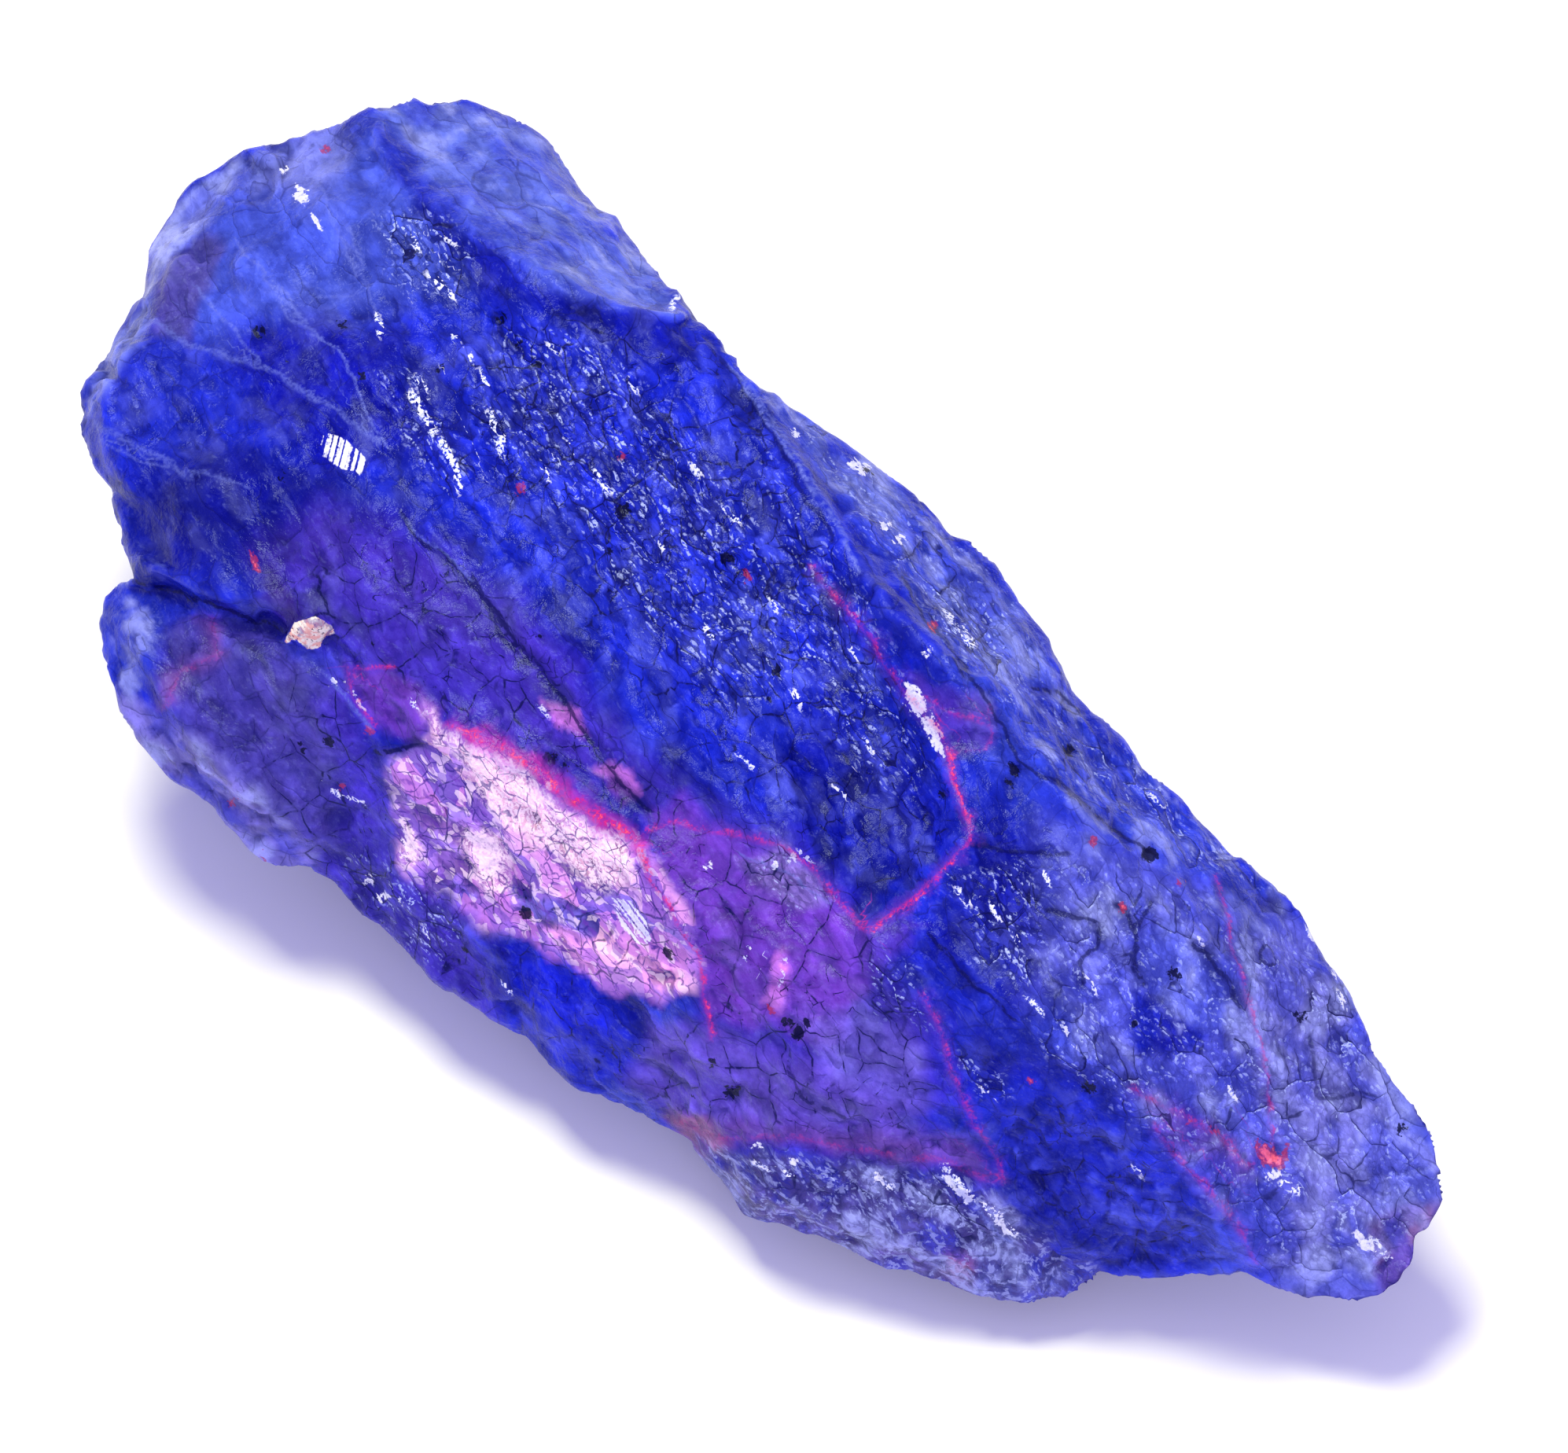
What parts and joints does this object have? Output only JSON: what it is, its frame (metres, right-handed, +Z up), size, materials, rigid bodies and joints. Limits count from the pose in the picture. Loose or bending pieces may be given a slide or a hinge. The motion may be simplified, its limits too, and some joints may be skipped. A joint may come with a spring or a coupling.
{
  "type": "rough sapphire",
  "caption": "Elongated rough crystal, a broken lump with ridges, ledges and a furrowed top, tapering to one end and resting on a small flat spot.",
  "frame": {"origin": "middle of the flat spot that the stone rests on", "axes": "+X along the stone towards its narrow end, +Y away from its glowing near face, +Z up"},
  "size_m": [0.0592, 0.0251, 0.0164],
  "materials": {
    "sapphire": "rough, glassy on fresh breaks"
  },
  "bodies": {
    "root": {"rough_sapphire": "sapphire"}
  },
  "joints": []
}
